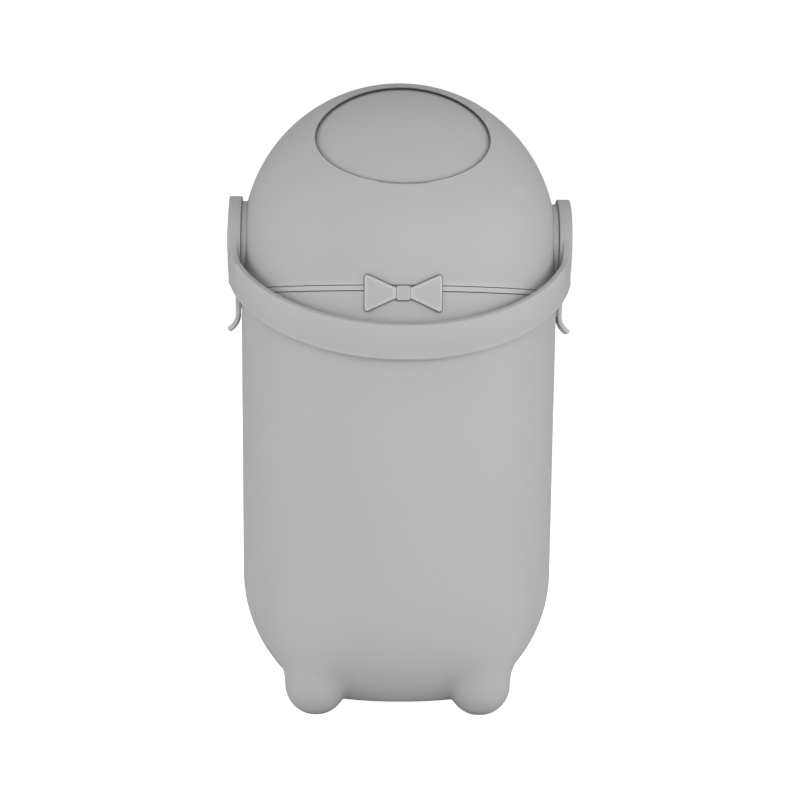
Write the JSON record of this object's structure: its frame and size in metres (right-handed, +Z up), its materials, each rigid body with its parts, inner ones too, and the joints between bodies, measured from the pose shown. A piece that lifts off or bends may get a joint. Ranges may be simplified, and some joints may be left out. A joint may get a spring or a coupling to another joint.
{
  "type": "nappy bin",
  "caption": "Tall round nappy bin on short legs, with a domed head, a tilted oval opening closed by a turning drum, and a wide bail handle.",
  "frame": {"origin": "centre of the footprint on the floor, under the bucket's axis", "axes": "+Z up along the bucket's axis, -Y towards the front where the bow is, +X to the viewer's right"},
  "size_m": [0.2886, 0.2755, 0.5182],
  "materials": {
    "grey_plastic": "satin",
    "inner_plastic": "matte",
    "seal_rubber": "matte",
    "steel": "satin"
  },
  "bodies": {
    "bucket": {"bucket": "grey_plastic", "liner_ring": "grey_plastic", "rim_seal": "seal_rubber", "bow": "grey_plastic"},
    "head": {"dome_shell": "grey_plastic", "collar": "inner_plastic", "drum_seal": "seal_rubber", "left_bush": "inner_plastic", "right_bush": "inner_plastic", "clip_pins": "steel"},
    "left_clip": {"left_clip": "grey_plastic"},
    "right_clip": {"right_clip": "grey_plastic"},
    "drum": {"drum_front": "grey_plastic", "drum_back": "inner_plastic", "drum_cup": "inner_plastic", "cup_screws": "steel", "left_journal": "inner_plastic", "right_journal": "inner_plastic", "journal_screws": "steel", "handle": "grey_plastic", "hub_screws": "steel", "hub_caps": "grey_plastic"}
  },
  "joints": [
    {"name": "head_lift", "type": "slide", "parent": "bucket", "child": "head", "axis": [0, 0, 1], "range_m": [0, 0.1]},
    {"name": "drum_turn", "type": "hinge", "parent": "head", "child": "drum", "pos_m": [0, 0, 0.3873], "axis": [-1, 0, 0], "range_deg": [0, 180]},
    {"name": "left_clip_swing", "type": "hinge", "parent": "head", "child": "left_clip", "pos_m": [-0.1346, 0, 0.3465], "axis": [0, 1, 0], "range_deg": [0, 22]},
    {"name": "right_clip_swing", "type": "hinge", "parent": "head", "child": "right_clip", "pos_m": [0.1346, 0, 0.3465], "axis": [0, -1, 0], "range_deg": [0, 22]}
  ]
}
